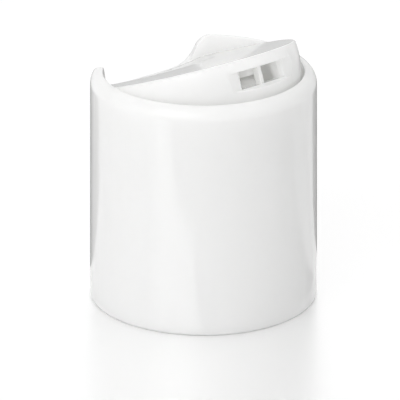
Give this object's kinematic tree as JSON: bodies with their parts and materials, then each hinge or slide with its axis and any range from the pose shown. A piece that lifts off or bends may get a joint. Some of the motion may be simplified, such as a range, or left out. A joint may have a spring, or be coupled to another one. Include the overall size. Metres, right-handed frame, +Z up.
{
  "type": "disc top cap",
  "caption": "Round smooth screw cap whose top disc tips open on two side trunnions, with a rectangular spout window in its front wall and a thumb notch at the back.",
  "frame": {"origin": "centre of the open skirt's foot, on the surface that the closure stands on", "axes": "+Z up along the skirt's axis, -Y towards the spout window, +Y towards the thumb notch, X along the disc's pivot line"},
  "size_m": [0.0285, 0.0284, 0.0346],
  "materials": {
    "body_plastic": "white polypropylene, glossy as moulded",
    "disc_plastic": "white polypropylene, glossy as moulded"
  },
  "bodies": {
    "closure": {"closure_body": "body_plastic"},
    "disc": {"dispensing_disc": "disc_plastic"}
  },
  "joints": [
    {"name": "disc_tilt", "type": "hinge", "parent": "closure", "child": "disc", "pos_m": [0, 0.0023, 0.028], "axis": [1, 0, 0], "range_deg": [0, 21.3]}
  ]
}
